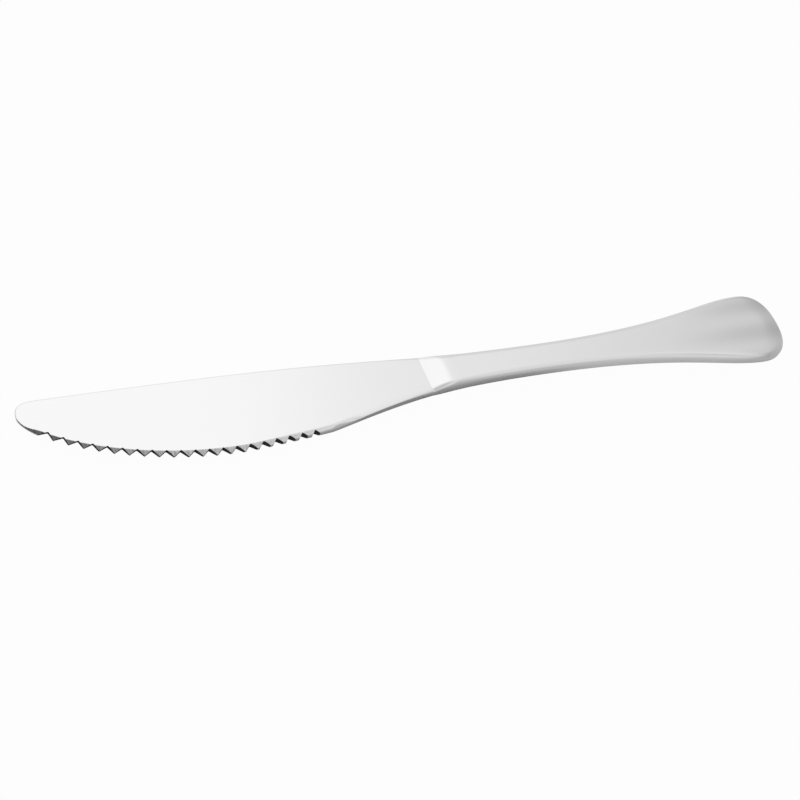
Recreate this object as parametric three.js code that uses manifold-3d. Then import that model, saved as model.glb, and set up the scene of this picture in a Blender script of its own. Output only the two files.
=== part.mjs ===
// A stainless steel dessert knife with a serrated edge and a slim, flared hollow handle, in millimetres.
//
// The knife lies on its side: +X runs from the tip to the end of the handle, +Y towards the spine and +Z
// up. It is drawn about its own axis and mid-plane with the tip at x = 0, and at the end it is moved so
// that the origin lies below the middle of its box. The forged blade carries the bolster's ramp, a spigot
// and a tang; two pressed half shells meet on the mid-plane and are soldered to the bolster's back face.
import * as THREE from "three";
import { mergeVertices } from "three/addons/utils/BufferGeometryUtils.js";
import Module from "manifold-3d";

const wasm = await Module();
wasm.setup();

// Driving dimensions: the outline, seen from above
const OVERALL_LENGTH = 205;
const BLADE_LENGTH = 100; // from the tip to the foot of the bolster's ramp
const BOLSTER_LENGTH = 8; // from that foot to the joint with the handle
const NOSE_HEIGHT = 3.7; // the foremost point of the blade, above the knife's axis
const NOSE_FLAT = 0.2; // the upright stretch of the outline there
const SPINE_HEIGHT = 7.5; // the spine above the axis, behind the tip
const SPINE_START = 6; // where the rounded tip has run into the spine
const BELLY_PLACE = 48; // the deepest point of the edge, from the tip
const BELLY_DEPTH = 12.4; // and below the axis
const HEEL_PLACE = 71.5; // where the lower edge turns up towards the handle
const HEEL_DEPTH = 10.58;
const HEEL_ANGLE = 11.6; // degrees by which the lower edge climbs at the heel
const NECK_PLACE = 130; // the slimmest place of the handle, from the tip
const NECK_WIDTH = 7.58;
const END_WIDTH = 19.15; // the widest place of the flared end
const END_ROUND = 8.4; // length of the rounded end behind that place

// Driving dimensions: thicknesses and the rounding of the edges
const TIP_THICKNESS = 0.55;
const BLADE_THICKNESS = 2.4; // at the foot of the ramp
const HANDLE_THICKNESS = 3.9;
const HANDLE_CROWN = 0.3; // how far each face of the handle falls towards its rim at the wide end
const RAMP_LENGTH = 7;
const SPINE_ROUND = 0.3; // width of the rounded corners of the blade's spine
const SPINE_WALL = 0.3; // upright part of the spine between them, at the tip
const BEVEL_WIDTH = 1.35; // width of the bevel, which is ground on the upper face only
const EDGE_TIP = 0.3; // what the bevel leaves at the cutting edge, near the tip
const EDGE_HEEL = 0.6; // and at the heel
const BEVEL_RUN = 4.5; // length over which the bevel grows from nothing at the nose
const NOSE_ROUND = 0.2;
const NOSE_WALL = 0.35;
const HEEL_RUN = 9; // length over which the bevel turns into the rounded lower edge
const HEEL_ROUND = 1.4; // width of the rounded lower edge between heel and bolster
const HEEL_DROP = 0.3; // what that rounding takes off the thickness at the edge
const RIM_ROUND = 1.5; // width of the rounded edges of the handle
const RIM_WALL = 0.8; // upright part of the handle's rim between them
const RIM_RUN = 12; // length before and behind the ramp's foot over which the edges turn into that rim

// Driving dimensions: the serration
const NOTCH_COUNT = 20;
const NOTCH_PITCH = 3.34; // along the edge
const FIRST_NOTCH = 7.6; // along the edge from the nose
const NOTCH_DEPTH_TIP = 1.45; // square to the edge, on the mid-plane
const NOTCH_DEPTH_HEEL = 0.8;
const NOTCH_ANGLE = 98; // degrees between the flanks of a notch
const NOTCH_ROOT = 0.18; // half-width of the rounded root
const NOTCH_LEAN_TIP = -3; // degrees by which the first notch leans towards the tip
const NOTCH_LEAN_HEEL = 4; // and the last one
const NOTCH_TILT = 7; // degrees by which the flanks tilt, which makes a notch deeper on the upper face

// Driving dimensions: the joint and what is inside the handle
const SHEET = 0.5; // thickness of the pressed shells
const SOLDER = 0.3; // thickness of the solder between bolster and shells
const FIT = 0.2; // clearance round the spigot, the tang and the filling
const SPIGOT_LENGTH = 3; // how far the spigot reaches into the shells
const TANG_LENGTH = 55; // behind the spigot
const TANG_WIDTH = 3.6;
const TANG_TIP_WIDTH = 2.6;
const TANG_THICKNESS = 1.2;
const TANG_NOTCH_RADIUS = 0.7; // keys that the filling grips
const TANG_NOTCH_PITCH = 13;
const TANG_NOTCHES = 3; // on each side

// Shape factors of the outline's curves: the part of a span for which the direction at its end holds
const TIP_PULL = { start: 0.907, end: 0.578 };
const SPINE_PULL = { start: 0.692, end: 0.409 };
const EDGE_PULL = { start: 0.318, end: 0.586 };
const BELLY_PULL = { start: 0.192, end: 0.027 };
const SWEEP_PULL = { start: 0.287, end: 0.557 };
const FLARE_PULL = { start: 0.65, end: 0.183 };

// Shape factors of the surfaces
const TAPER = 1.6; // 1 is an even taper of the blade; more keeps it thin for longer behind the tip
const RAMP_SOFTNESS = 2.4; // 1 is a straight ramp; more softens its upper end
const CROWN_FLAT = 0.32; // share of the handle's half-width that stays flat
const BEVEL_FLAT = 15; // from the nose to here the bevel is flat; from here to the heel it turns round
const ROUND_SHARE = 0.8; // the most of a narrow section's half-width that its rounded edge takes
const END_SWEEP = THREE.MathUtils.degToRad(88); // part of the quarter turn that closes the handle's end
const END_FULLNESS = 2.4; // 2 is an elliptical end; more fills its corners
const NOTCH_FADE = 3; // 1 is an even change of the notches' depth; more keeps it for longer behind the tip

// Facets
const ROUND_STEPS = 4; // across each rounded or bevelled edge
const FACE_STEPS = 6; // across each face
const NOSE_STATIONS = 6;
const BLADE_STATIONS = 30;
const RAMP_STATIONS = 8;
const HANDLE_STATIONS = 28;
const END_STATIONS = 9;
const ROOT_STEPS = 4; // round the root of a notch
const KEY_STEPS = 12; // round a key of the tang
const OVERSHOOT = 1; // how far a cutter or an inner solid reaches past what it cuts or joins

const JOINT = BLADE_LENGTH + BOLSTER_LENGTH; // the bolster's back face
const MOUTH = JOINT + SOLDER; // the front face of the shells
const END_START = OVERALL_LENGTH - END_ROUND;
const SPIGOT_END = MOUTH + SPIGOT_LENGTH;
const LEVEL = 0;
const UPRIGHT = Infinity;
const CLOSE_ENOUGH = 1e-9; // share of a curve to which a place on it is found
const SAME_PLACE = 1e-4; // vertices closer than this are one

const { clamp, degToRad, lerp, smoothstep } = THREE.MathUtils;
const point = (x, y) => new THREE.Vector2(x, y);

// Outline

// One cubic from a to b that leaves and arrives along the given slopes.
function sweep(a, slopeA, b, slopeB, pull) {
  const span = b.clone().sub(a);
  const reach = (slope, share) =>
    slope === UPRIGHT ? point(0, span.y * share) : point(span.x * share, span.x * share * slope);
  const leave = a.clone().add(reach(slopeA, pull.start));
  const arrive = b.clone().sub(reach(slopeB, pull.end));
  return new THREE.CubicBezierCurve(a, leave, arrive, b);
}

const heelSlope = Math.tan(degToRad(HEEL_ANGLE));
const noseTop = point(0, NOSE_HEIGHT + NOSE_FLAT / 2);
const noseBottom = point(0, NOSE_HEIGHT - NOSE_FLAT / 2);
const spine = point(SPINE_START, SPINE_HEIGHT);
const belly = point(BELLY_PLACE, -BELLY_DEPTH);
const heel = point(HEEL_PLACE, -HEEL_DEPTH);
const neckTop = point(NECK_PLACE, NECK_WIDTH / 2);
const neckBottom = point(NECK_PLACE, -NECK_WIDTH / 2);
const endTop = point(END_START, END_WIDTH / 2);
const endBottom = point(END_START, -END_WIDTH / 2);

const upperOutline = [
  sweep(noseTop, UPRIGHT, spine, LEVEL, TIP_PULL),
  sweep(spine, LEVEL, neckTop, LEVEL, SPINE_PULL),
  sweep(neckTop, LEVEL, endTop, LEVEL, FLARE_PULL),
];
const lowerOutline = [
  sweep(noseBottom, UPRIGHT, belly, LEVEL, EDGE_PULL),
  sweep(belly, LEVEL, heel, heelSlope, BELLY_PULL),
  sweep(heel, heelSlope, neckBottom, LEVEL, SWEEP_PULL),
  sweep(neckBottom, LEVEL, endBottom, LEVEL, FLARE_PULL),
];

// Height of an outline above the axis, by halving the stretch of the curve that holds x.
function outlineAt(curves, x) {
  const curve = curves.find((c) => x <= c.v3.x);
  let from = 0;
  let to = 1;
  while (to - from > CLOSE_ENOUGH) {
    const middle = (from + to) / 2;
    if (curve.getPoint(middle).x < x) from = middle;
    else to = middle;
  }
  return curve.getPoint(to).y;
}

// How far a place of the rounded end has gone from the widest section towards the end, from 0 to almost 1.
function endShare(x, inset) {
  return ((x - END_START) / (END_ROUND - inset)) * Math.sin(END_SWEEP);
}

// The two rims of the section at x, moved inwards by the inset.
function rims(x, inset) {
  if (x > END_START) {
    const left = 1 - endShare(x, inset) ** END_FULLNESS;
    const half = (END_WIDTH / 2 - inset) * left ** (1 / END_FULLNESS);
    return { high: half, low: -half };
  }
  return { high: outlineAt(upperOutline, x) - inset, low: outlineAt(lowerOutline, x) + inset };
}

// Surface

// Half the thickness between the flats: a tapering blade, the bolster's ramp, and an even handle.
function flatHeight(x) {
  if (x <= BLADE_LENGTH) return lerp(TIP_THICKNESS, BLADE_THICKNESS, (x / BLADE_LENGTH) ** TAPER) / 2;
  const climb = 1 - (1 - Math.min(1, (x - BLADE_LENGTH) / RAMP_LENGTH)) ** RAMP_SOFTNESS;
  return lerp(BLADE_THICKNESS, HANDLE_THICKNESS, climb) / 2;
}

// How far the crowned face of the handle has fallen at a share of the way from the axis to the rim.
function crownFall(x, share) {
  const rounded = Math.max(0, share - CROWN_FLAT) / (1 - CROWN_FLAT);
  return HANDLE_CROWN * smoothstep(x, JOINT, END_START) * rounded ** 2;
}

// Blends the rounding of two stretches of an edge.
function blend(a, b, share) {
  return {
    width: lerp(a.width, b.width, share),
    wall: lerp(a.wall, b.wall, share),
    bulge: lerp(a.bulge, b.bulge, share),
    shift: lerp(a.shift, b.shift, share),
  };
}

// Each rim: the width of its rounding, the upright wall, how round it is (0 is a flat bevel, 1 a quarter
// of an ellipse), and how far the middle of the wall lies above the mid-plane.
const handleRim = { width: RIM_ROUND, wall: RIM_WALL, bulge: 1, shift: 0 };
const spineRim = { width: SPINE_ROUND, wall: SPINE_WALL, bulge: 1, shift: 0 };
const noseRim = { width: NOSE_ROUND, wall: NOSE_WALL, bulge: 1, shift: 0 };

// The bevel leaves the cutting edge at the lower face, and turns from flat to round and blunt at the heel.
function bevelRim(x) {
  const bulge = smoothstep(x, BEVEL_FLAT, HEEL_PLACE);
  const wall = lerp(EDGE_TIP, EDGE_HEEL, bulge ** 2);
  return { width: BEVEL_WIDTH, wall, bulge, shift: wall / 2 - flatHeight(x) };
}

// The rounding of the spine's side and of the edge's side at x.
function rimShapes(x) {
  const grown = smoothstep(x, BLADE_LENGTH - RIM_RUN, BLADE_LENGTH + RIM_RUN);
  const thicker = { ...spineRim, wall: SPINE_WALL + 2 * (flatHeight(x) - flatHeight(0)) };
  const bevel = blend(noseRim, bevelRim(x), smoothstep(x, 0, BEVEL_RUN));
  const heelRim = { width: HEEL_ROUND, wall: 2 * flatHeight(x) - HEEL_DROP, bulge: 1, shift: 0 };
  const lower = blend(bevel, heelRim, smoothstep(x, HEEL_PLACE, HEEL_PLACE + HEEL_RUN));
  return { high: blend(thicker, handleRim, grown), low: blend(lower, handleRim, grown) };
}

// Share of the fall from flat to rim at a share of the way across a rounded edge.
function edgeFall(share, bulge) {
  return lerp(share, 1 - Math.sqrt(1 - share ** 2), bulge);
}

// How near a place of the rounded end is to its rim: 1 on the rim itself.
function endNearness(along, across) {
  return (along ** END_FULLNESS + Math.abs(across) ** END_FULLNESS) ** (1 / END_FULLNESS);
}

// Height of the upper (1) or lower (-1) surface from the mid-plane at a place, moved inwards by the inset.
function heightAt(x, y, inset, side) {
  const { high, low } = rims(x, inset);
  const shape = rimShapes(x);
  const upper = y >= 0;
  const half = END_WIDTH / 2 - inset;
  const atEnd = x > END_START;
  const share = atEnd ? endNearness(endShare(x, inset), y / half) : y / (upper ? high : low);
  const flat = flatHeight(x) - inset - crownFall(x, clamp(share, 0, 1));
  const fallFrom = (rim, distance) => {
    const across = clamp(1 - distance / (rim.width - inset), 0, 1);
    const drop = Math.max(0, flat - side * rim.shift - rim.wall / 2);
    return drop * edgeFall(across, rim.bulge);
  };
  if (atEnd) return flat - fallFrom(shape.high, (1 - share) * half);
  return flat - fallFrom(shape.high, high - y) - fallFrom(shape.low, y - low);
}

// Places across the section from the upper rim to the lower one.
function placesAcross(x, inset) {
  const { high, low } = rims(x, inset);
  const shape = rimShapes(x);
  const room = (high - low) / 2;
  const highRound = Math.min(shape.high.width - inset, room * ROUND_SHARE);
  const lowRound = Math.min(shape.low.width - inset, room * ROUND_SHARE);
  const places = [];
  for (let i = 0; i < ROUND_STEPS; i++) {
    places.push(high - highRound * (1 - Math.cos((i / ROUND_STEPS) * (Math.PI / 2))));
  }
  for (let i = 0; i <= FACE_STEPS; i++) {
    places.push(lerp(high - highRound, low + lowRound, i / FACE_STEPS));
  }
  for (let i = 1; i <= ROUND_STEPS; i++) {
    places.push(low + lowRound * (1 - Math.sin((i / ROUND_STEPS) * (Math.PI / 2))));
  }
  return places;
}

// The upper (1) or lower (-1) surface across the section at x, from the spine's side.
function surfaceAcross(x, inset, side) {
  return placesAcross(x, inset).map((y) => new THREE.Vector3(x, y, side * heightAt(x, y, inset, side)));
}

// The closed section at x: over the upper face from the spine's side, and back along the lower face.
function sectionAt(x, inset = 0) {
  return [...surfaceAcross(x, inset, 1), ...surfaceAcross(x, inset, -1).reverse()];
}

// The half of that section above (1) or below (-1) the mid-plane, as an open line that starts and ends on it.
function halfSectionAt(x, inset, side) {
  const { high, low } = rims(x, inset);
  const start = new THREE.Vector3(x, high, 0);
  const end = new THREE.Vector3(x, low, 0);
  const line = [start, ...surfaceAcross(x, inset, side), end];
  return side > 0 ? line : line.reverse();
}

// Solids

// A closed mesh as a solid, with shared vertices merged and collapsed facets dropped.
function solidOf(geometry) {
  geometry.deleteAttribute("normal");
  geometry.deleteAttribute("uv");
  const merged = mergeVertices(geometry, SAME_PLACE);
  const corners = Array.from(merged.index.array);
  const kept = [];
  for (let i = 0; i < corners.length; i += 3) {
    const facet = corners.slice(i, i + 3);
    if (new Set(facet).size === facet.length) kept.push(...facet);
  }
  const vertProperties = new Float32Array(merged.attributes.position.array);
  const triVerts = new Uint32Array(kept);
  return new wasm.Manifold(new wasm.Mesh({ numProp: 3, vertProperties, triVerts }));
}

// Facets of the skin through closed sections with the same number of points.
function skin(sections) {
  const count = sections[0].length;
  const index = [];
  for (let i = 0; i + 1 < sections.length; i++) {
    for (let k = 0; k < count; k++) {
      const a = i * count + k;
      const b = i * count + ((k + 1) % count);
      index.push(a, b, a + count, b, b + count, a + count);
    }
  }
  return index;
}

// Facets of a flat end over a row of neighbouring points.
function fan(first, count) {
  return Array.from({ length: count - 2 }, (_, k) => [first, first + k + 1, first + k + 2]).flat();
}

function meshed(points, index) {
  const geometry = new THREE.BufferGeometry().setFromPoints(points);
  geometry.setIndex(index);
  return solidOf(geometry);
}

// A solid through sections with the same number of points, closed by flat ends.
function loft(sections) {
  const count = sections[0].length;
  const front = fan(0, count).reverse();
  const back = fan((sections.length - 1) * count, count);
  return meshed(sections.flat(), [...skin(sections), ...front, ...back]);
}

// A half shell between outer and inner lines: open on the mid-plane and in front, closed at the back.
function shellLoft(outer, inner) {
  const count = outer[0].length;
  const rings = outer.map((line, i) => [...line, ...inner[i].reverse()]);
  const front = [];
  for (let k = 0; k + 1 < count; k++) {
    const across = 2 * count - 1 - k;
    front.push(k, across - 1, k + 1, k, across, across - 1);
  }
  const first = (rings.length - 1) * 2 * count;
  const [start, end] = [first, first + count - 1];
  const [innerEnd, innerStart] = [first + count, first + 2 * count - 1];
  const lip = [start, end, innerEnd, start, innerEnd, innerStart];
  const back = [...fan(start, count), ...fan(innerEnd, count), ...lip];
  return meshed(rings.flat(), [...skin(rings), ...front, ...back]);
}

// A ring between two places: a four-cornered profile carried round the section.
function ringLoft(from, to, thickness) {
  const [front, back] = [sectionAt(from), sectionAt(to)];
  const [innerFront, innerBack] = [sectionAt(from, thickness), sectionAt(to, thickness)];
  const profiles = front.map((corner, k) => [back[k], corner, innerFront[k], innerBack[k]]);
  const closed = [...profiles, profiles[0]];
  return meshed(closed.flat(), skin(closed));
}

// Even steps from one place to another, with both ends.
function steps(from, to, count) {
  return Array.from({ length: count + 1 }, (_, i) => lerp(from, to, i / count));
}

// Stations along the forged blade: close together at the nose, and one on each end of the ramp.
function bladeStations() {
  const nose = steps(0, 1, NOSE_STATIONS).map((share) => BEVEL_RUN * share ** 2);
  const flat = steps(BEVEL_RUN, BLADE_LENGTH, BLADE_STATIONS).slice(1);
  const ramp = steps(BLADE_LENGTH, JOINT, RAMP_STATIONS).slice(1);
  return [...nose, ...flat, ...ramp];
}

// Stations along the handle from a given front: even to the widest place, then by angle round the end.
function handleStations(front, inset) {
  const body = steps(front, END_START, HANDLE_STATIONS);
  const round = steps(0, END_SWEEP, END_STATIONS).slice(1);
  const reach = (END_ROUND - inset) / Math.sin(END_SWEEP);
  return [...body, ...round.map((angle) => END_START + reach * Math.sin(angle))];
}

// The handle as a solid from a given front, moved inwards by the inset.
function handleSolid(front, inset) {
  return loft(handleStations(front, inset).map((x) => sectionAt(x, inset)));
}

// A short stretch of the handle's section between two places.
function handleSlice(from, to, inset) {
  return loft([from, to].map((x) => sectionAt(x, inset)));
}

// A flat shape through the whole thickness, centred on the mid-plane.
function plate(shape, thickness) {
  const options = { depth: thickness, bevelEnabled: false, curveSegments: ROOT_STEPS };
  return new THREE.ExtrudeGeometry(shape, options).translate(0, 0, -thickness / 2);
}

// One notch of the serration, with its flanks running out below the edge and a rounded root.
function notchCutter(depth) {
  const rise = 1 / Math.tan(degToRad(NOTCH_ANGLE / 2));
  const mouth = (depth + OVERSHOOT) / rise;
  const shape = new THREE.Shape();
  shape.moveTo(-mouth, -OVERSHOOT);
  shape.lineTo(mouth, -OVERSHOOT);
  shape.lineTo(NOTCH_ROOT, depth - NOTCH_ROOT * rise);
  shape.quadraticCurveTo(0, depth, -NOTCH_ROOT, depth - NOTCH_ROOT * rise);
  shape.closePath();
  return plate(shape, BLADE_THICKNESS + 2 * OVERSHOOT);
}

// Cuts the row of notches along the edge, each square to the edge but for its lean and its tilt.
function serrate(blade) {
  const edge = new THREE.CurvePath();
  edge.add(lowerOutline[0]);
  edge.add(lowerOutline[1]);
  const length = edge.getLength();
  let cut = blade;
  for (let i = 0; i < NOTCH_COUNT; i++) {
    const along = (FIRST_NOTCH + i * NOTCH_PITCH) / length;
    const place = edge.getPoint(along);
    const direction = edge.getTangent(along);
    const share = i / (NOTCH_COUNT - 1);
    const depth = lerp(NOTCH_DEPTH_TIP, NOTCH_DEPTH_HEEL, share ** NOTCH_FADE);
    const lean = degToRad(lerp(NOTCH_LEAN_TIP, NOTCH_LEAN_HEEL, share));
    const cutter = notchCutter(depth);
    cutter.rotateX(-degToRad(NOTCH_TILT));
    cutter.rotateZ(direction.angle() + lean);
    cutter.translate(place.x, place.y, 0);
    cut = cut.subtract(solidOf(cutter));
  }
  return cut;
}

// The tang, with round keys along both sides; grown by a clearance it is the hole in the filling.
function tang(grow) {
  const front = SPIGOT_END - OVERSHOOT;
  const back = SPIGOT_END + TANG_LENGTH + grow;
  const halfFront = TANG_WIDTH / 2 + grow;
  const halfBack = TANG_TIP_WIDTH / 2 + grow;
  const shape = new THREE.Shape();
  shape.moveTo(front, -halfFront);
  shape.lineTo(back, -halfBack);
  shape.lineTo(back, halfBack);
  shape.lineTo(front, halfFront);
  shape.closePath();
  let solid = solidOf(plate(shape, TANG_THICKNESS + 2 * grow));
  const high = TANG_THICKNESS + 2 * OVERSHOOT;
  const radius = TANG_NOTCH_RADIUS - grow;
  for (let i = 1; i <= TANG_NOTCHES; i++) {
    const x = SPIGOT_END + i * TANG_NOTCH_PITCH;
    const half = lerp(halfFront, halfBack, (x - front) / (back - front));
    for (const side of [-1, 1]) {
      const key = new THREE.CylinderGeometry(radius, radius, high, KEY_STEPS);
      key.rotateX(Math.PI / 2).translate(x, side * (half - grow), 0);
      solid = solid.subtract(solidOf(key));
    }
  }
  return solid;
}

// Pieces

const polishedSteel = { color: 0xd4d5d6, roughness: 0.12, metalness: 1 };
const solderMetal = { color: 0xcfcfc9, roughness: 0.25, metalness: 1 };
const cement = { color: 0x8d8576, roughness: 0.95, metalness: 0 };

function piece(name, solid, finish) {
  const made = solid.getMesh();
  const geometry = new THREE.BufferGeometry();
  geometry.setAttribute("position", new THREE.BufferAttribute(made.vertProperties, 3));
  geometry.setIndex(new THREE.BufferAttribute(made.triVerts, 1));
  const mesh = new THREE.Mesh(geometry, new THREE.MeshStandardMaterial(finish));
  mesh.name = name;
  return mesh;
}

function makeBlade() {
  const forging = loft(bladeStations().map((x) => sectionAt(x)));
  const spigot = handleSlice(JOINT - OVERSHOOT, SPIGOT_END, SHEET + FIT);
  return serrate(forging).add(spigot).add(tang(0));
}

function makeSolderRing() {
  return ringLoft(JOINT, MOUTH, SHEET);
}

function makeShell(side) {
  const lines = (inset) => handleStations(MOUTH, inset).map((x) => halfSectionAt(x, inset, side));
  return shellLoft(lines(0), lines(SHEET));
}

function makeFilling() {
  return handleSolid(SPIGOT_END + FIT, SHEET + FIT).subtract(tang(FIT));
}

const knife = new THREE.Group();
knife.add(
  piece("blade", makeBlade(), polishedSteel),
  piece("solder_ring", makeSolderRing(), solderMetal),
  piece("handle_shell_upper", makeShell(1), polishedSteel),
  piece("handle_shell_lower", makeShell(-1), polishedSteel),
  piece("handle_filling", makeFilling(), cement),
);
const box = new THREE.Box3().setFromObject(knife);
const middle = box.getCenter(new THREE.Vector3());
knife.position.set(-middle.x, -middle.y, -box.min.z);

export default knife;
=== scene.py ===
"""A polished steel dessert knife with a serrated edge and a flared hollow handle, lying on a white table.

The knife is drawn about its own axis and mid-plane in millimetres, with the tip at x = 0, +X towards the
end of the handle and +Y towards the spine. Its meshes are written in metres in the frame of the solids.
"""
import logging
import math
from dataclasses import dataclass, field
from enum import Enum
from functools import cached_property
from typing import ClassVar

import bpy
import numpy as np
from mathutils import Matrix, Vector


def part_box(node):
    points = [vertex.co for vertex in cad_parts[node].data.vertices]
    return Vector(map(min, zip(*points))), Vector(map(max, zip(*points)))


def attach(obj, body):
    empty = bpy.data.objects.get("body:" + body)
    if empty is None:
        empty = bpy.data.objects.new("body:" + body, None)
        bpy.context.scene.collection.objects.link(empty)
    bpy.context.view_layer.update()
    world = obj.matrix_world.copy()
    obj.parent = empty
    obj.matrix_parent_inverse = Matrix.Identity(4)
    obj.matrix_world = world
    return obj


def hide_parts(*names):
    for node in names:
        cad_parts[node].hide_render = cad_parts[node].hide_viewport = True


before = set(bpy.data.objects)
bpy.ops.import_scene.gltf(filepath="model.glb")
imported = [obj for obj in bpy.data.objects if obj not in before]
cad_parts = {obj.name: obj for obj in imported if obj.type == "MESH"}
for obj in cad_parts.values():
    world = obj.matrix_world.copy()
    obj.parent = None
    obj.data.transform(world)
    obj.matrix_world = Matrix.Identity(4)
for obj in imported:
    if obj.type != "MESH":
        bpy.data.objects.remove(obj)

log = logging.getLogger("dessert_knife")
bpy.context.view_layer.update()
METRE = 1000.0  # in millimetres
SHARP_ANGLE = math.radians(38.0)  # between faces, from which an edge isn't smooth
TINY = 1e-9  # stands in for zero in a division
Numbers = np.ndarray | float  # one value, or many at once
Pair = tuple[float, float]
Triple = tuple[float, float, float]
Socket = bpy.types.NodeSocket


class Face(Enum):
    """The two faces of the knife as it lies on its side."""

    UPPER = 1
    LOWER = -1


def smoothstep(value: np.ndarray, start: float, end: float) -> np.ndarray:
    """Share from 0 to 1 of the way from start to end, eased at both ends."""
    share = np.clip((value - start) / (end - start), 0.0, 1.0)
    return share * share * (3.0 - 2.0 * share)


def lerp(start: Numbers, end: Numbers, share: Numbers) -> Numbers:
    """Value at a share of the way from start to end."""
    return start + (end - start) * share


def spread(start: np.ndarray, end: np.ndarray, share: np.ndarray) -> np.ndarray:
    """Values from each start to its end: one row per pair, one column per share."""
    return lerp(start[:, None], end[:, None], share[None, :])


def distances(curve: np.ndarray) -> np.ndarray:
    """Distance along a curve from its start to each of its points."""
    return np.concatenate([[0.0], np.cumsum(np.hypot(*np.diff(curve, axis=0).T))])


@dataclass(frozen=True)
class Sweep:
    """One cubic stretch of the outline that leaves and arrives along given slopes.

    A slope of None is upright. The pulls are the shares of the span for which each direction holds.
    """

    start: Pair
    start_slope: float | None
    end: Pair
    end_slope: float | None
    pulls: Pair
    samples: int = 900
    crowding: float = 1.5

    def reach(self, slope: float | None, share: float) -> np.ndarray:
        """Offset of a control point from its end of the curve.

        Args:
            slope: Direction of the curve there, or None where it is upright.
            share: Part of the span for which that direction holds.

        Returns:
            The offset in millimetres.
        """
        span = np.subtract(self.end, self.start)
        if slope is None:
            return np.array([0.0, span[1] * share])
        return np.array([span[0] * share, span[0] * share * slope])

    def points(self) -> np.ndarray:
        """Points along the curve, closer together at its start.

        Returns:
            The points, one row each.
        """
        first, last = np.array(self.start), np.array(self.end)
        leave = first + self.reach(self.start_slope, self.pulls[0])
        arrive = last - self.reach(self.end_slope, self.pulls[1])
        t = (np.linspace(0.0, 1.0, self.samples) ** self.crowding)[:, None]
        near = (1 - t) ** 3 * first + 3 * (1 - t) ** 2 * t * leave
        return near + 3 * (1 - t) * t**2 * arrive + t**3 * last


def joined(sweeps: list[Sweep]) -> np.ndarray:
    """Points along sweeps that follow on from each other, with each meeting point once."""
    stretches = [sweep.points() for sweep in sweeps]
    return np.vstack([stretches[0], *(points[1:] for points in stretches[1:])])


@dataclass(frozen=True)
class Rim:
    """The rounding of an edge: its width, its wall, how round it is, and the height of the wall's middle."""

    width: Numbers
    wall: Numbers
    bulge: Numbers = 1.0
    shift: Numbers = 0.0

    def blend(self, other: "Rim", share: np.ndarray) -> "Rim":
        """The rim at a share of the way to another rim.

        Args:
            other: The rim at the end of the way.
            share: Shares of the way, from 0 to 1.

        Returns:
            The rim between them.
        """
        return Rim(
            lerp(self.width, other.width, share),
            lerp(self.wall, other.wall, share),
            lerp(self.bulge, other.bulge, share),
            lerp(self.shift, other.shift, share),
        )

    def fall(self, distance: np.ndarray, flat: np.ndarray, face: Face, inset: float) -> np.ndarray:
        """How far a face has fallen at a distance from the rim.

        Args:
            distance: Distances from the rim.
            flat: Heights of the flat of the face above the mid-plane.
            face: The upper or the lower face.
            inset: How far the surface lies inside the outer one.

        Returns:
            The drops below the flat.
        """
        near = np.clip(1.0 - distance / (self.width - inset), 0.0, 1.0)
        drop = np.maximum(0.0, flat - face.value * self.shift - self.wall / 2)
        return drop * lerp(near, 1.0 - np.sqrt(1.0 - near**2), self.bulge)


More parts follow.
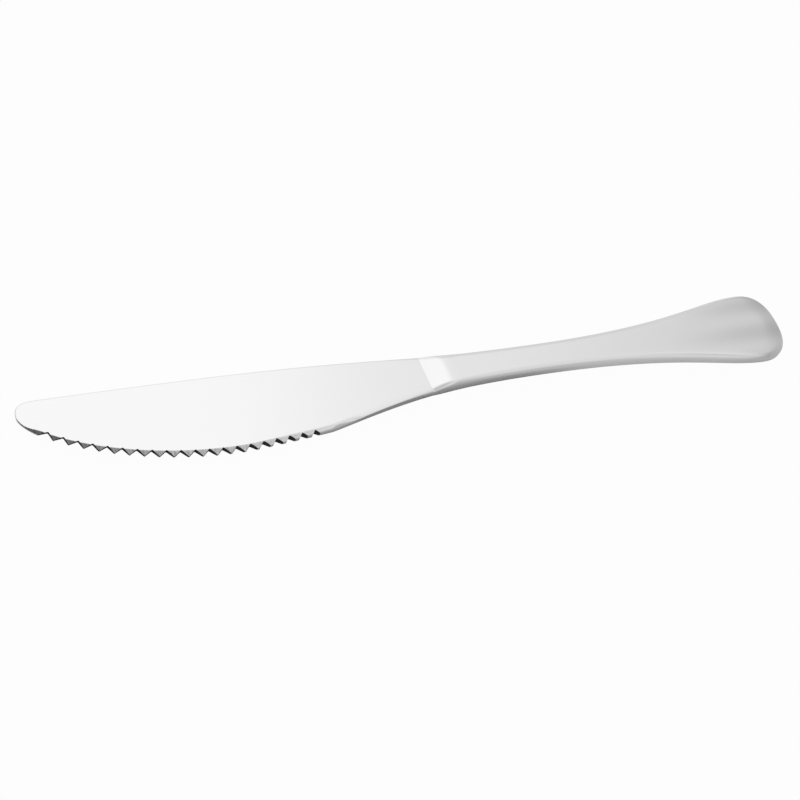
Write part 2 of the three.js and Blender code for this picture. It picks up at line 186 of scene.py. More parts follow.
@dataclass(frozen=True)
class KnifeForm:
    """Sizes of the whole knife in millimetres, and the surface that they describe."""

    # Outline in plan
    overall_length: float = 205.0
    blade_length: float = 100.0
    bolster_length: float = 8.0
    nose_height: float = 3.7
    nose_flat: float = 0.2
    spine_height: float = 7.5
    spine_start: float = 6.0
    belly_place: float = 48.0
    belly_depth: float = 12.4
    heel_place: float = 71.5
    heel_depth: float = 10.58
    heel_angle: float = 11.6
    neck_place: float = 130.0
    neck_width: float = 7.58
    end_width: float = 19.15
    end_round: float = 8.4
    end_fullness: float = 2.4
    end_sweep: float = math.radians(88.0)

    # Thickness of the blade, the bolster's ramp and the handle
    tip_thickness: float = 0.55
    blade_thickness: float = 2.4
    handle_thickness: float = 3.9
    handle_crown: float = 0.3
    crown_flat: float = 0.32
    taper: float = 1.6
    ramp_length: float = 7.0
    ramp_softness: float = 2.4
    solder: float = 0.3
    sheet: float = 0.5

    # Bevel and rims
    bevel_width: float = 1.35
    edge_tip: float = 0.3
    edge_heel: float = 0.6
    bevel_run: float = 4.5
    bevel_flat: float = 15.0
    spine_rim: Rim = Rim(0.3, 0.3)
    nose_rim: Rim = Rim(0.2, 0.35)
    heel_round: float = 1.4
    heel_drop: float = 0.3
    heel_run: float = 9.0
    handle_rim: Rim = Rim(1.5, 0.8)
    rim_run: float = 12.0

    # Shares of each sweep of the outline for which its end directions hold
    tip_pull: Pair = (0.907, 0.578)
    spine_pull: Pair = (0.692, 0.409)
    edge_pull: Pair = (0.318, 0.586)
    belly_pull: Pair = (0.192, 0.027)
    sweep_pull: Pair = (0.287, 0.557)
    flare_pull: Pair = (0.65, 0.183)

    @property
    def joint(self) -> float:
        """The bolster's back face."""
        return self.blade_length + self.bolster_length

    @property
    def mouth(self) -> float:
        """The front face of the handle's shells."""
        return self.joint + self.solder

    @property
    def end_start(self) -> float:
        """The widest place of the handle, where the rounded end begins."""
        return self.overall_length - self.end_round

    @cached_property
    def upper_outline(self) -> np.ndarray:
        """Points of the outline from the nose along the spine to the widest place of the handle.

        Returns:
            The points, one row each.
        """
        nose = (0.0, self.nose_height + self.nose_flat / 2)
        spine = (self.spine_start, self.spine_height)
        neck = (self.neck_place, self.neck_width / 2)
        end = (self.end_start, self.end_width / 2)
        return joined([
            Sweep(nose, None, spine, 0.0, self.tip_pull),
            Sweep(spine, 0.0, neck, 0.0, self.spine_pull),
            Sweep(neck, 0.0, end, 0.0, self.flare_pull),
        ])

    @cached_property
    def lower_outline(self) -> np.ndarray:
        """Points of the outline from the nose along the edge to the widest place of the handle.

        Returns:
            The points, one row each.
        """
        slope = math.tan(math.radians(self.heel_angle))
        nose = (0.0, self.nose_height - self.nose_flat / 2)
        belly = (self.belly_place, -self.belly_depth)
        heel = (self.heel_place, -self.heel_depth)
        neck = (self.neck_place, -self.neck_width / 2)
        end = (self.end_start, -self.end_width / 2)
        return joined([
            Sweep(nose, None, belly, 0.0, self.edge_pull),
            Sweep(belly, 0.0, heel, slope, self.belly_pull),
            Sweep(heel, slope, neck, 0.0, self.sweep_pull),
            Sweep(neck, 0.0, end, 0.0, self.flare_pull),
        ])

    def end_share(self, x: np.ndarray, inset: float) -> np.ndarray:
        """How far a place of the rounded end has gone from the widest section towards the end."""
        share = np.clip((x - self.end_start) / (self.end_round - inset), 0.0, 1.0)
        return share * math.sin(self.end_sweep)

    def end_nearness(self, x: np.ndarray, across: np.ndarray, inset: float) -> np.ndarray:
        """How near a place of the rounded end is to its rim: 1 on the rim itself."""
        power = self.end_fullness
        return (self.end_share(x, inset) ** power + np.abs(across) ** power) ** (1.0 / power)

    def rims(self, x: np.ndarray, inset: float = 0.0) -> tuple[np.ndarray, np.ndarray]:
        """The two rims of the sections at x.

        Args:
            x: Places along the knife.
            inset: How far the surface lies inside the outer one.

        Returns:
            The heights of the spine's side and of the edge's side above the axis.
        """
        left = 1.0 - self.end_share(x, inset) ** self.end_fullness
        half = (self.end_width / 2 - inset) * left ** (1.0 / self.end_fullness)
        high = np.interp(x, self.upper_outline[:, 0], self.upper_outline[:, 1]) - inset
        low = np.interp(x, self.lower_outline[:, 0], self.lower_outline[:, 1]) + inset
        at_end = x > self.end_start
        return np.where(at_end, half, high), np.where(at_end, -half, low)

    def flat_height(self, x: np.ndarray) -> np.ndarray:
        """Half the thickness between the flats: a tapering blade, the ramp and an even handle.

        Args:
            x: Places along the knife.

        Returns:
            The heights of the flats above the mid-plane.
        """
        along = np.clip(x / self.blade_length, 0.0, 1.0) ** self.taper
        blade = lerp(self.tip_thickness, self.blade_thickness, along)
        left = 1.0 - np.clip((x - self.blade_length) / self.ramp_length, 0.0, 1.0)
        grown = (self.handle_thickness - self.blade_thickness) * (1.0 - left**self.ramp_softness)
        return (blade + grown) / 2

    def rim_shapes(self, x: np.ndarray) -> tuple[Rim, Rim]:
        """The rounding of the spine's side and of the edge's side at x.

        Args:
            x: Places along the knife.

        Returns:
            The rim of the spine's side and the rim of the edge's side.
        """
        flat = self.flat_height(x)
        grown = smoothstep(x, self.blade_length - self.rim_run, self.blade_length + self.rim_run)
        spine = Rim(self.spine_rim.width, self.spine_rim.wall + 2 * (flat - self.tip_thickness / 2))
        round_off = smoothstep(x, self.bevel_flat, self.heel_place)
        edge = lerp(self.edge_tip, self.edge_heel, round_off**2)
        bevel = Rim(self.bevel_width, edge, round_off, edge / 2 - flat)
        heel = Rim(self.heel_round, 2 * flat - self.heel_drop)
        lower = self.nose_rim.blend(bevel, smoothstep(x, 0.0, self.bevel_run))
        lower = lower.blend(heel, smoothstep(x, self.heel_place, self.heel_place + self.heel_run))
        return spine.blend(self.handle_rim, grown), lower.blend(self.handle_rim, grown)

    def height(self, x: np.ndarray, y: np.ndarray, face: Face, inset: float = 0.0) -> np.ndarray:
        """Height of a face above the mid-plane.

        Args:
            x: Places along the knife.
            y: Places across it.
            face: The upper or the lower face.
            inset: How far the surface lies inside the outer one.

        Returns:
            The heights, below zero on the lower face.
        """
        high, low = self.rims(x, inset)
        high_rim, low_rim = self.rim_shapes(x)
        half = self.end_width / 2 - inset
        at_end = x > self.end_start
        side = np.where(y >= 0, high, low)
        across = y / np.where(np.abs(side) < TINY, TINY, side)
        share = np.clip(np.where(at_end, self.end_nearness(x, y / half, inset), across), 0.0, 1.0)
        rounded = np.maximum(0.0, share - self.crown_flat) / (1.0 - self.crown_flat)
        crown = self.handle_crown * smoothstep(x, self.joint, self.end_start) * rounded**2
        flat = self.flat_height(x) - inset - crown
        spine_side = high_rim.fall(high - y, flat, face, inset)
        edge_side = low_rim.fall(y - low, flat, face, inset)
        round_end = high_rim.fall((1.0 - share) * half, flat, face, inset)
        return face.value * (flat - np.where(at_end, round_end, spine_side + edge_side))

    def to_frame(self, points: np.ndarray) -> np.ndarray:
        """Points about the knife's axis as metres in the frame of the solids.

        Args:
            points: Places in the knife's own millimetres, with the coordinates last.

        Returns:
            The places in metres, in the same arrangement.
        """
        low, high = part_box("handle_shell_upper")
        axis = np.array([high.x - self.overall_length / METRE, (low.y + high.y) / 2, low.z])
        return np.asarray(points) / METRE + axis


class SolidMesh:
    """A closed mesh under construction, in the knife's own millimetres."""

    def __init__(self) -> None:
        """Starts with no points."""
        self.points: list[np.ndarray] = []
        self.faces: list[tuple[int, ...]] = []
        self.count = 0

    def add(self, points: np.ndarray) -> np.ndarray:
        """Adds a block of points.

        Args:
            points: Places in any arrangement, with the coordinates last.

        Returns:
            The numbers of the points, in the same arrangement.
        """
        flat = points.reshape(-1, 3)
        self.points.append(flat)
        numbers = np.arange(self.count, self.count + len(flat)).reshape(points.shape[:-1])
        self.count += len(flat)
        return numbers

    def skin(self, rings: np.ndarray) -> None:
        """Adds the skin through closed rings of points.

        Args:
            rings: Numbers of the points, one row per ring.
        """
        following = np.roll(rings, -1, axis=1)
        quads = np.stack([rings[:-1], following[:-1], following[1:], rings[1:]], axis=-1)
        self.faces.extend(map(tuple, quads.reshape(-1, 4).tolist()))

    def tube(self, out: np.ndarray, back: np.ndarray) -> np.ndarray:
        """Adds points and their skin, as rings that run out along one line and back along another.

        Args:
            out: Points of the lines out, one row per ring.
            back: Points of the lines back, from the same ends.

        Returns:
            The numbers of the points, one row per ring.
        """
        rings = self.add(np.concatenate([out, back[:, ::-1]], axis=1)[:, ::-1])
        self.skin(rings)
        return rings

    def strip(self, ring: np.ndarray, front: bool) -> None:
        """Closes a ring whose first half runs out and whose second half runs back beside it.

        Args:
            ring: Numbers of the points round it.
            front: Whether it closes the front of the skin, not its back.
        """
        half = len(ring) // 2
        out, back = ring[:half], ring[half:][::-1]
        for a, b, c, d in zip(out[:-1], out[1:], back[1:], back[:-1]):
            self.faces.append((d, c, b, a) if front else (a, b, c, d))

    def lid(self, ring: np.ndarray) -> None:
        """Closes a flat ring with one face."""
        self.faces.append(tuple(ring.tolist()))

    def to_object(self, name: str, form: KnifeForm) -> bpy.types.Object:
        """Makes a smooth-shaded object with its sharp edges marked.

        Args:
            name: Name of the piece.
            form: The knife, for its place in the frame of the solids.

        Returns:
            The new object, linked to the scene.
        """
        mesh = bpy.data.meshes.new(name)
        mesh.from_pydata(form.to_frame(np.vstack(self.points)).tolist(), [], self.faces)
        mesh.validate()
        mesh.shade_smooth()
        mesh.set_sharp_from_angle(angle=SHARP_ANGLE)
        piece = bpy.data.objects.new(name, mesh)
        bpy.context.scene.collection.objects.link(piece)
        return piece


class Recipe:
    """The nodes of one material or of the sky, with short ways to add and join them."""

    STREAK_DETAIL: ClassVar[float] = 3.0

    def __init__(self, owner: bpy.types.Material | bpy.types.World) -> None:
        """Starts with the nodes that a new material or sky has."""
        owner.use_nodes = True
        self.nodes, self.links = owner.node_tree.nodes, owner.node_tree.links

    def node(self, kind: str, **settings: object) -> bpy.types.Node:
        """Adds a node and sets its settings by name.

        Args:
            kind: Its kind, without the words that all kinds begin with.
            settings: Its settings by name.

        Returns:
            The new node.
        """
        made = self.nodes.new(f"ShaderNode{kind}")
        for key, value in settings.items():
            setattr(made, key, value)
        return made

    def feed(self, node: bpy.types.Node, inputs: dict[str | int, object]) -> bpy.types.Node:
        """Gives a node its inputs: outputs of other nodes, or plain values.

        Args:
            node: The node.
            inputs: Outputs of other nodes or plain values, by the name or number of the input.

        Returns:
            The same node.
        """
        for key, value in inputs.items():
            if isinstance(value, Socket):
                self.links.new(value, node.inputs[key])
            else:
                node.inputs[key].default_value = value
        return node

    def math(self, kind: str, *values: object) -> Socket:
        """Joins values by one operation."""
        return self.feed(self.node("Math", operation=kind), dict(enumerate(values))).outputs["Value"]

    def ease(self, source: object, span: Pair, values: tuple[object, object]) -> Socket:
        """Smooth change from one value to another.

        Args:
            source: What the change follows.
            span: Where on the source it starts and ends.
            values: The values before and after it.

        Returns:
            The changing value.
        """
        made = self.node("MapRange", interpolation_type="SMOOTHSTEP")
        keys = ("Value", "From Min", "From Max", "To Min", "To Max")
        return self.feed(made, dict(zip(keys, (source, *span, *values)))).outputs["Result"]

    def mix(self, share: object, first: object, second: object) -> Socket:
        """Value at a share of the way from the first to the second."""
        return self.feed(self.node("Mix"), {"Factor": share, 2: first, 3: second}).outputs[0]

    def split(self, vector: Socket) -> bpy.types.Node:
        """A node with the three coordinates of a vector."""
        return self.feed(self.node("SeparateXYZ"), {"Vector": vector})

    def place(self) -> Socket:
        """The place on the object."""
        return self.node("TexCoord").outputs["Object"]

    def grey(self, tone: Socket) -> Socket:
        """A grey of a given tone."""
        made = self.node("CombineColor")
        return self.feed(made, {"Red": tone, "Green": tone, "Blue": tone}).outputs["Color"]

    def streaks(self, grain: Triple) -> Socket:
        """Noise stretched to lines.

        Args:
            grain: Lengths of its grain in millimetres along X, Y and Z.

        Returns:
            The noise, from 0 to 1.
        """
        stretch = self.node("Mapping")
        self.feed(stretch, {"Vector": self.place(), "Scale": tuple(METRE / size for size in grain)})
        noise = self.node("TexNoise")
        self.feed(noise, {"Vector": stretch.outputs["Vector"], "Scale": 1.0, "Detail": self.STREAK_DETAIL})
        return noise.outputs["Fac"]


@dataclass(frozen=True)
class Steel:
    """Polished steel: its colour, its gloss, and the fine lines that polishing leaves along the knife.

    Sizes and places are in millimetres, in the frame of the solids. The depth of the lines is in metres.
    """

    LINE_SPAN: ClassVar[Pair] = (0.25, 0.75)
    LINE_DEPTH: ClassVar[float] = 0.00002

    colour: Triple
    roughness: float
    roughness_spread: float
    line_length: float
    line_width: float
    relief: float

    def material(self, name: str) -> bpy.types.Material:
        """Builds the material.

        Args:
            name: Name of the material.

        Returns:
            The new material.
        """
        made = bpy.data.materials.new(name)
        recipe = Recipe(made)
        shader = recipe.nodes["Principled BSDF"]
        recipe.feed(shader, {"Metallic": 1.0, "Base Color": (*self.colour, 1.0)})
        lines = recipe.streaks((self.line_length, self.line_width, self.line_width))
        gloss = (self.roughness - self.roughness_spread, self.roughness + self.roughness_spread)
        recipe.feed(shader, {"Roughness": recipe.ease(lines, self.LINE_SPAN, gloss)})
        bump = recipe.node("Bump")
        recipe.feed(bump, {"Strength": self.relief, "Distance": self.LINE_DEPTH, "Height": lines})
        recipe.feed(shader, {"Normal": bump.outputs["Normal"]})
        self.grind(recipe, shader)
        return made

    def grind(self, recipe: Recipe, shader: bpy.types.Node) -> None:
        """Adds nothing: plain steel is polished all over."""


@dataclass(frozen=True)
class GroundSteel(Steel):
    """Polished steel with a satin ground bevel that painted shade darkens towards the tip, and rough notch
    flanks painted near-black as shade.
    """

    STREAK_SPAN: ClassVar[Pair] = (0.3, 0.7)

    bevel_dark: float
    bevel_light: float
    bevel_roughness: float
    streak_length: float
    streak_width: float
    flank_shade_tone: float
    flank_roughness: float
    tip_shade: float
    shade_start: float
    shade_end: float

    def grind(self, recipe: Recipe, shader: bpy.types.Node) -> None:
        """Adds the satin grind and the rough flanks where the mesh says they are, with painted shade: the
        bevel darkens towards the tip and the notch flanks are painted near-black.

        Args:
            recipe: The nodes of the material.
            shader: The shader that takes the marks.
        """
        bevel = recipe.node("Attribute", attribute_name="bevel").outputs["Fac"]
        flank = recipe.node("Attribute", attribute_name="flank").outputs["Fac"]
        streaks = recipe.streaks((self.streak_width, self.streak_length, self.streak_length))
        place = recipe.split(recipe.place())
        span = (self.shade_start / METRE, self.shade_end / METRE)
        # painted shade: the bevel's tone darkens towards the tip
        shade = recipe.ease(place.outputs["X"], span, (self.tip_shade, 1.0))
        ground = recipe.ease(streaks, self.STREAK_SPAN, (self.bevel_dark, self.bevel_light))
        ground = recipe.math("MULTIPLY", ground, shade)
        # the notch flanks take a near-black painted shade in their tone, and a rougher gloss
        tone = recipe.mix(flank, recipe.mix(bevel, self.colour[0], ground), self.flank_shade_tone)
        polish = shader.inputs["Roughness"].links[0].from_socket
        satin = recipe.mix(bevel, polish, self.bevel_roughness)
        rough = recipe.mix(flank, satin, self.flank_roughness)
        recipe.feed(shader, {"Base Color": recipe.grey(tone), "Roughness": rough})


@dataclass(frozen=True)
class PaintedBandSteel(Steel):
    """Polished steel with faint lengthwise bands of painted reflection, darker stripes in its colour, that
    grow towards the end of the handle.
    """

    band_pitch: float
    band_place: float
    band_shade: float
    band_start: float
    band_full: float

    def grind(self, recipe: Recipe, shader: bpy.types.Node) -> None:
        """Adds the painted reflection bands.

        Args:
            recipe: The nodes of the material.
            shader: The shader that takes the painted bands.
        """
        place = recipe.split(recipe.place())
        across = recipe.math("SUBTRACT", place.outputs["Y"], self.band_place / METRE)
        wave = recipe.math("COSINE", recipe.math("MULTIPLY", across, math.tau * METRE / self.band_pitch))
        span = (self.band_start / METRE, self.band_full / METRE)
        # painted reflection: dark bands across the handle in its colour, growing towards the end
        depth = recipe.ease(place.outputs["X"], span, (0.0, self.band_shade))
        clear = recipe.math("MULTIPLY", recipe.math("SUBTRACT", wave, 1.0), depth)
        tone = recipe.math("MULTIPLY_ADD", clear, self.colour[0] / 2, self.colour[0])
        recipe.feed(shader, {"Base Color": recipe.grey(tone)})


@dataclass(frozen=True)
class Cement:
    """The cement inside the handle: grey-brown, with a sandy grain in millimetres and its depth in metres."""

    dark: Triple
    light: Triple
    grain: float
    detail: float
    roughness: float
    relief: float
    depth: float

    def material(self, name: str) -> bpy.types.Material:
        """Builds the material.

        Args:
            name: Name of the material.

        Returns:
            The new material.
        """
        made = bpy.data.materials.new(name)
        recipe = Recipe(made)
        sand = recipe.node("TexNoise")
        recipe.feed(sand, {"Vector": recipe.place(), "Scale": METRE / self.grain, "Detail": self.detail})
        tone = recipe.feed(recipe.node("ValToRGB"), {"Fac": sand.outputs["Fac"]})
        for stop, colour in zip(tone.color_ramp.elements, (self.dark, self.light)):
            stop.color = (*colour, 1.0)
        bump = recipe.node("Bump")
        recipe.feed(bump, {"Strength": self.relief, "Distance": self.depth, "Height": sand.outputs["Fac"]})
        shader = recipe.feed(recipe.nodes["Principled BSDF"], {"Roughness": self.roughness})
        recipe.feed(shader, {"Base Color": tone.outputs["Color"], "Normal": bump.outputs["Normal"]})
        return made


BLADE_STEEL = GroundSteel(
    colour=(0.82, 0.82, 0.82),
    roughness=0.10,
    roughness_spread=0.02,
    line_length=30.0,
    line_width=0.15,
    relief=0.02,
    bevel_dark=0.45,
    bevel_light=0.87,
    bevel_roughness=0.28,
    streak_length=2.0,
    streak_width=0.25,
    # near-black painted shade on the notch flanks
    flank_shade_tone=0.06,
    flank_roughness=0.5,
    # painted shade that darkens the bevel towards the tip, from shade_start to shade_end
    tip_shade=0.19,
    shade_start=-102.5,
    shade_end=-62.5,
)
HANDLE_STEEL = PaintedBandSteel(
    colour=(0.82, 0.82, 0.82),
    roughness=0.12,
    roughness_spread=0.02,
    line_length=40.0,
    line_width=0.2,
    relief=0.02,
    # painted reflection bands on the handle's steel
    band_pitch=8.2,
    band_place=3.2,
    band_shade=0.15,
    band_start=65.0,
    band_full=97.0,
)
SOLDER_METAL = Steel(
    colour=(0.81, 0.81, 0.80),
    roughness=0.14,
    roughness_spread=0.02,
    line_length=10.0,
    line_width=0.2,
    relief=0.03,
)
FILLING_CEMENT = Cement(
    dark=(0.20, 0.18, 0.15),
    light=(0.36, 0.33, 0.28),
    grain=0.3,
    detail=6.0,
    roughness=0.95,
    relief=0.4,
    depth=0.0001,
)


@dataclass
class Serration:
    """The row of notches along the edge, in millimetres along it from the nose."""

    count: int = 20
    pitch: float = 3.34
    first: float = 7.6
    depth_tip: float = 1.45
    depth_heel: float = 0.8
    fade: float = 3.0
    angle: float = 98.0
    lean_tip: float = -3.0
    lean_heel: float = 4.0
    tilt: float = 7.0
    root_round: float = 0.08
    tooth_round_tip: float = 0.08
    tooth_round_heel: float = 0.15

    def depth(self, along: np.ndarray, height: Numbers) -> np.ndarray:
        """Depth of the notched outline inside the edge curve.

        Args:
            along: Places along the edge curve from the nose.
            height: Heights above the mid-plane at which the outline is cut.

        Returns:
            How far the outline lies inside the edge curve there.
        """
        notch = np.clip(np.round((along - self.first) / self.pitch), 0, self.count - 1)
        share = notch / (self.count - 1)
        lean = np.radians(-lerp(self.lean_tip, self.lean_heel, share))
        tilt = math.radians(self.tilt)
        half = math.atan(math.tan(math.radians(self.angle / 2)) * math.cos(tilt))
        depth = lerp(self.depth_tip, self.depth_heel, share**self.fade)
        reach = depth / math.cos(tilt) + height * math.tan(tilt)
        offset = along - (self.first + notch * self.pitch + reach * np.sin(lean))
        rise = 1.0 / np.tan(half + np.where(offset < 0, lean, -lean))
        flank = reach * np.cos(lean) + self.root_round - np.sqrt((offset * rise) ** 2 + self.root_round**2)
        soft = lerp(self.tooth_round_tip, self.tooth_round_heel, share)
        return (flank + np.sqrt(flank**2 + soft**2)) / 2


@dataclass
class Blade:
    """The forged blade with its serrated edge and the bolster's ramp.

    Mesh lines run across it from the edge to the spine. The limits are the largest shares of a short line
    that the notches and the zones of fine steps at its two ends may take.
    """

    form: KnifeForm
    serration: Serration = field(default_factory=Serration)
    steel: GroundSteel = BLADE_STEEL
    nose_lines: int = 40
    nose_crowding: float = 1.6
    lines_per_notch: int = 28
    heel_lines: int = 60
    ramp_lines: int = 48
    edge_steps: int = 24
    face_steps: int = 10
    spine_steps: int = 8
    edge_zone: float = 2.4
    spine_zone: float = 0.6
    cut_limit: float = 0.3
    edge_limit: float = 0.45
    spine_limit: float = 0.25
    line_knots: int = 12
    cut_passes: int = 8
    bevel_fade: Pair = (40.0, 74.0)
    flank_depth: Pair = (0.03, 0.08)

    @cached_property
    def edge(self) -> tuple[np.ndarray, np.ndarray]:
        """The edge curve from the nose to the neck, and the distance along it.

        Returns:
            The points of the curve, and their distances along it from the nose.
        """
        outline = self.form.lower_outline
        curve = outline[outline[:, 0] <= self.form.neck_place]
        return curve, distances(curve)

    def along_edge(self, x: Numbers) -> Numbers:
        """Distance along the edge curve of a place along the knife."""
        curve, along = self.edge
        return np.interp(x, curve[:, 0], along)

    def line_places(self) -> np.ndarray:
        """Places from which the mesh lines start: close together at the nose, the notches and the ramp.

        Returns:
            The distances along the edge curve from the nose.
        """
        cut = self.serration
        first = cut.first - cut.pitch / 2
        last = cut.first + (cut.count - 0.5) * cut.pitch
        nose = first * np.linspace(0.0, 1.0, self.nose_lines) ** self.nose_crowding
        teeth = np.linspace(first, last, cut.count * self.lines_per_notch + 1)[1:]
        ramp_foot, joint = self.form.blade_length, self.form.joint
        heel = np.linspace(last, self.along_edge(ramp_foot), self.heel_lines)[1:]
        ramp = self.along_edge(np.linspace(ramp_foot, joint, self.ramp_lines)[1:])
        return np.concatenate([nose, teeth, heel, ramp])

    def line_ends(self, along: np.ndarray) -> tuple[np.ndarray, np.ndarray]:
        """Where the mesh lines start on the edge curve and end on the spine.

        The lines at a few knots stand square to the edge, or upright on the ramp, and the others lie between.

        Args:
            along: Places along the edge curve.

        Returns:
            The points on the edge curve and on the spine.
        """
        curve, reach = self.edge
        spine = self.form.upper_outline
        spine_reach = distances(spine)
        knots = np.linspace(0.0, along[-1], self.line_knots)
        x, y = (np.interp(knots, reach, curve[:, axis]) for axis in (0, 1))
        slope = np.gradient(y, x) * (1.0 - smoothstep(x, self.form.heel_place, self.form.blade_length))
        across = np.interp(x, spine[:, 0], spine[:, 1]) - y
        target = np.interp(x - slope * across, spine[:, 0], spine_reach)
        target[0] = 0.0
        far = np.interp(along, knots, target)
        near_points = [np.interp(along, reach, curve[:, axis]) for axis in (0, 1)]
        far_points = [np.interp(far, spine_reach, spine[:, axis]) for axis in (0, 1)]
        return np.column_stack(near_points), np.column_stack(far_points)

    def cut_start(self, along: np.ndarray, near: np.ndarray, direction: np.ndarray, face: Face) -> np.ndarray:
        """Where the mesh lines start on one face, inside the edge curve.

        The flanks of the notches tilt, so how deep a notch is depends on the height of the face there.

        Args:
            along: Places along the edge curve.
            near: The points of the edge curve there.
            direction: The directions of the lines in plan.
            face: The upper or the lower face.

        Returns:
            The distances from the edge curve along the lines.
        """
        start = np.zeros_like(along)
        for _ in range(self.cut_passes):
            place = near + start[:, None] * direction
            start = self.serration.depth(along, self.form.height(place[:, 0], place[:, 1], face))
        return start

    def plan(self, face: Face) -> np.ndarray:
        """Places of one face's mesh in plan.

        Args:
            face: The upper or the lower face.

        Returns:
            The places, one row per line from the notched edge to the spine.
        """
        along = self.line_places()
        near, far = self.line_ends(along)
        length = np.hypot(*(far - near).T)
        direction = (far - near) / length[:, None]
        start = np.minimum(self.cut_start(along, near, direction, face), length * self.cut_limit)
        edge_end = np.minimum(self.edge_zone, length * self.edge_limit)
        spine_start = length - np.minimum(self.spine_zone, length * self.spine_limit)
        edge_share = np.linspace(0.0, 1.0, self.edge_steps + 1)
        face_share = np.linspace(0.0, 1.0, self.face_steps + 1)[1:]
        spine_share = np.sin(np.linspace(0.0, math.pi / 2, self.spine_steps + 1))[1:]
        distance = np.hstack([
            spread(start, edge_end, edge_share),
            spread(edge_end, spine_start, face_share),
            spread(spine_start, length, spine_share),
        ])
        return near[:, None, :] + distance[:, :, None] * direction[:, None, :]

    def skin(self, plan: np.ndarray, face: Face) -> np.ndarray:
        """Points of one face over their places in plan."""
        return np.dstack([plan, self.form.height(*np.moveaxis(plan, -1, 0), face)])

    def build(self) -> bpy.types.Object:
        """Builds the blade's mesh.

        Returns:
            The new object.
        """
        plans = {face: self.plan(face) for face in Face}
        skins = {face: self.skin(plan, face) for face, plan in plans.items()}
        mesh = SolidMesh()
        rings = mesh.tube(skins[Face.UPPER], skins[Face.LOWER])
        mesh.strip(rings[0], front=True)
        mesh.strip(rings[-1], front=False)
        piece = mesh.to_object("blade_forging", self.form)
        self.mark_ground_faces(piece, *np.moveaxis(plans[Face.UPPER], -1, 0))
        return piece

    def mark_ground_faces(self, piece: bpy.types.Object, x: np.ndarray, y: np.ndarray) -> None:
        """Marks the faces that the grinding wheels left: the bevel, and the flanks of the notches. The
        material paints shade onto both.

        Args:
            piece: The blade's object.
            x: Places of its mesh along the knife, one row per line.
            y: Places of its mesh across the knife.
        """
        lines, steps = x.shape
        bevel = np.zeros((lines - 1, 2 * steps))
        flank = np.zeros((lines - 1, 2 * steps))
        distance = y - self.form.rims(x)[1]
        ground = (distance < self.form.rim_shapes(x)[1].width) * (1.0 - smoothstep(x, *self.bevel_fade))
        bevel[:, steps:-1] = np.minimum(ground[:-1, 1:], ground[1:, 1:])[:, ::-1]
        depth = self.serration.depth(self.line_places(), 0.0)
        # the flank mark carries the flanks' roughness and their near-black painted shade
        flank[:, -1] = smoothstep((depth[:-1] + depth[1:]) / 2, *self.flank_depth)
        for name, marks in (("bevel", bevel), ("flank", flank)):
            values = np.zeros(len(piece.data.polygons))
            values[: marks.size] = marks.ravel()
            piece.data.attributes.new(name, "FLOAT", "FACE").data.foreach_set("value", values)

    def dress(self, piece: bpy.types.Object) -> None:
        """Gives the blade its steel."""
        piece.data.materials.append(self.steel.material("blade_steel"))


@dataclass
class HandlePart:
    """What the pieces of the handle share: lines across its section, and stations along it.

    The rim limit is the largest share of a section's width that one of its rims may take.
    """

    form: KnifeForm
    round_steps: int = 10
    face_steps: int = 28
    body_stations: int = 150
    end_stations: int = 40
    rim_limit: float = 0.4

    def places(self, x: np.ndarray, inset: float) -> np.ndarray:
        """Places across the sections at x, from the spine's side to the edge's side.

        Args:
            x: Places of the sections along the knife.
            inset: How far the surface lies inside the outer one.

        Returns:
            The heights above the axis, one row per section.
        """
        high, low = self.form.rims(x, inset)
        high_rim, low_rim = self.form.rim_shapes(x)
        high_width = np.minimum(high_rim.width - inset, (high - low) * self.rim_limit)
        low_width = np.minimum(low_rim.width - inset, (high - low) * self.rim_limit)
        turn = 1.0 - np.cos(np.linspace(0.0, math.pi / 2, self.round_steps + 1))
        upper = high[:, None] - high_width[:, None] * turn[None, :]
        lower = low[:, None] + low_width[:, None] * turn[None, ::-1]
        share = np.linspace(0.0, 1.0, self.face_steps + 1)[1:-1]
        face = lerp(upper[:, -1:], lower[:, :1], share[None, :])
        return np.hstack([upper, face, lower])

    def lines(self, stations: np.ndarray, inset: float, face: Face) -> np.ndarray:
        """Lines over one face of the handle, each starting and ending on the mid-plane.

        Args:
            stations: Places of the lines along the knife.
            inset: How far the surface lies inside the outer one.
            face: The upper or the lower face.

        Returns:
            The points, one row per line.
        """
        across = self.places(stations, inset)
        x = np.repeat(stations[:, None], across.shape[1], axis=1)
        over = np.dstack([x, across, self.form.height(x, across, face, inset)])
        on_plane = np.array([1.0, 1.0, 0.0])
        lines = np.concatenate([over[:, :1] * on_plane, over, over[:, -1:] * on_plane], axis=1)
        return lines if face is Face.UPPER else lines[:, ::-1]

    def stations(self, inset: float) -> np.ndarray:
        """Stations along a shell: even to the widest place, then by angle round the end.

        Args:
            inset: How far the surface lies inside the outer one.

        Returns:
            The places along the knife.
        """
        form = self.form
        body = np.linspace(form.mouth, form.end_start, self.body_stations)
        turn = np.linspace(0.0, form.end_sweep, self.end_stations)[1:]
        reach = (form.end_round - inset) / math.sin(form.end_sweep)
        return np.concatenate([body, form.end_start + reach * np.sin(turn)])


